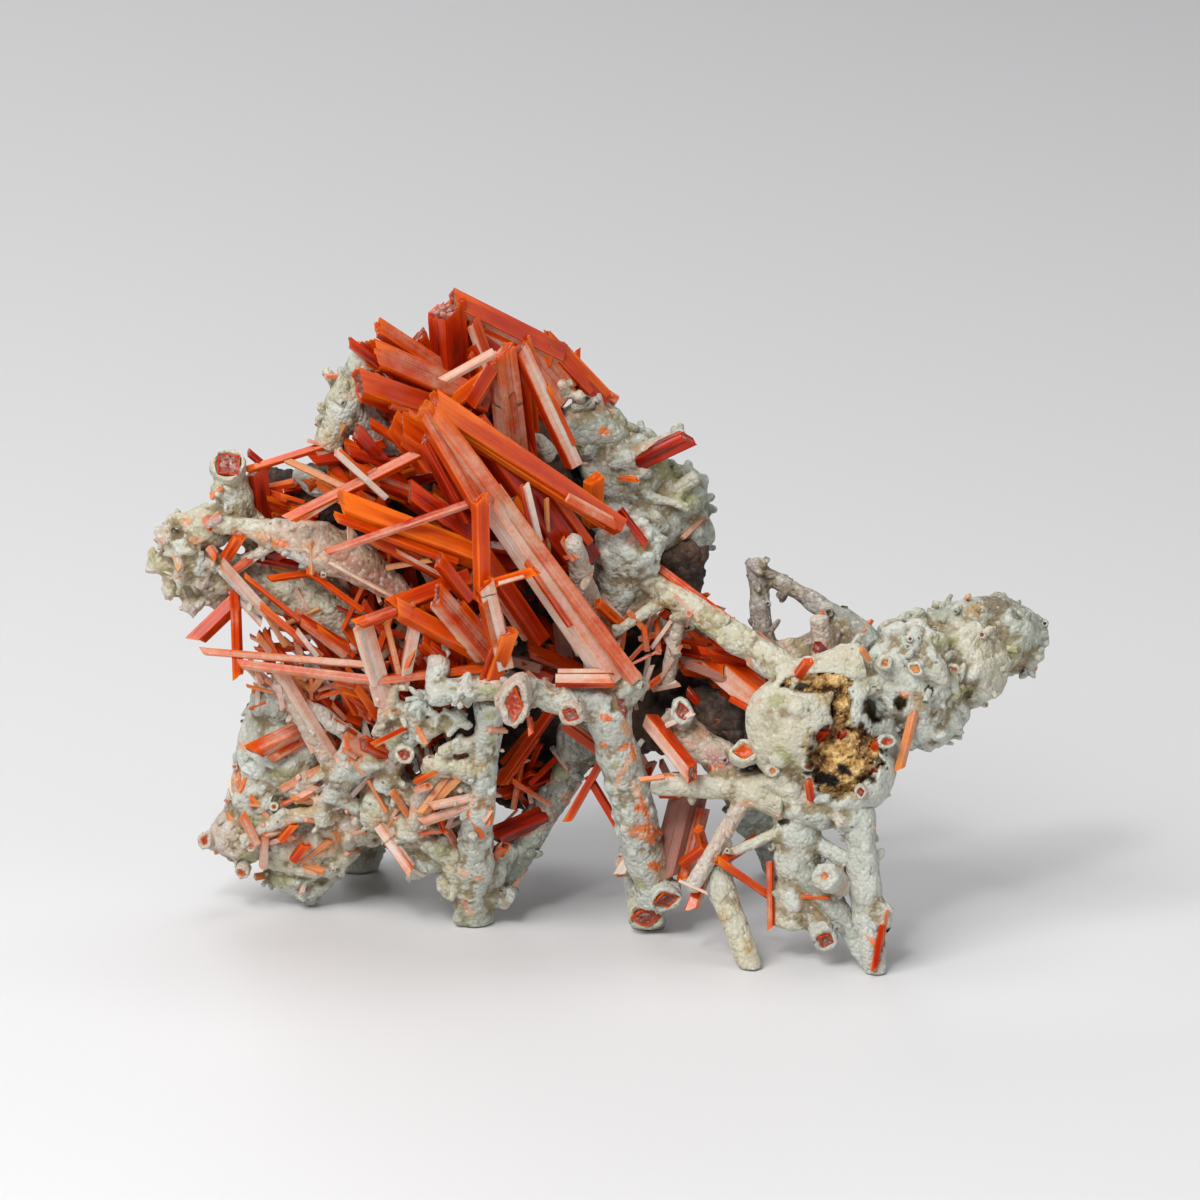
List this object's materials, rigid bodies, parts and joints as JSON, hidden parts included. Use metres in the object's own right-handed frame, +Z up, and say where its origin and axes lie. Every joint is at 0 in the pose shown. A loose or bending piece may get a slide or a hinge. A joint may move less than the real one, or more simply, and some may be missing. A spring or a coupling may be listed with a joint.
{
  "type": "crocoite mineral specimen",
  "caption": "Cabinet specimen: long orange prismatic crystals growing through a lattice of white crusted stalks on a dark iron rock core, standing on short legs.",
  "frame": {"origin": "on the floor plane, under the middle of the specimen's bounding box", "axes": "+Z up, +X to the right across the display face, +Y away from the viewer, so that the display face looks along -Y"},
  "size_m": [0.1204, 0.0582, 0.0883],
  "materials": {
    "crocoite": "gloss",
    "gibbsite": "matte",
    "limonite": "matte",
    "gossan": "matte"
  },
  "bodies": {
    "root": {"arch_crystal": "crocoite", "arm_crystal": "crocoite", "back_left_crystals": "crocoite", "back_right_crystals": "crocoite", "blunt_crystal": "crocoite", "chevron_crystals": "crocoite", "coated_rod_crystals": "crocoite", "crown_crystals": "crocoite", "curved_crystal": "crocoite", "edge_crystals": "crocoite", "fan_crystals": "crocoite", "girder_crystals": "crocoite", "inner_blades": "crocoite", "lattice_crystals": "crocoite", "left_rod_crystals": "crocoite", "long_crystals": "crocoite", "low_rod_crystal": "crocoite", "lower_left_crystals": "crocoite", "mauve_blade": "crocoite", "post_crystals": "crocoite", "rod_crystal": "crocoite", "shin_crystals": "crocoite", "slab_crystal": "crocoite", "tucked_crystals": "crocoite", "upper_left_crystals": "crocoite", "upright_crystals": "crocoite", "web_rod_crystals": "crocoite", "wedge_crystals": "crocoite", "back_left_crust": "gibbsite", "back_left_foot": "gibbsite", "back_right_crust": "gibbsite", "back_right_foot": "gibbsite", "back_stalks": "gibbsite", "centre_knob": "gibbsite", "centre_leg": "gibbsite", "front_beam": "gibbsite", "left_lobe": "gibbsite", "long_stalk": "gibbsite", "lower_left_lobe": "gibbsite", "middle_leg": "gibbsite", "right_arm": "gibbsite", "right_branch": "gibbsite", "right_front_leg": "gibbsite", "right_hub": "gibbsite", "right_inner_leg": "gibbsite", "right_strut": "gibbsite", "slant_leg": "gibbsite", "upper_left_stalk": "gibbsite", "upper_shoulder": "gibbsite", "web_stalks": "gibbsite", "limonite_pocket": "limonite", "gossan_core": "gossan"}
  },
  "joints": []
}
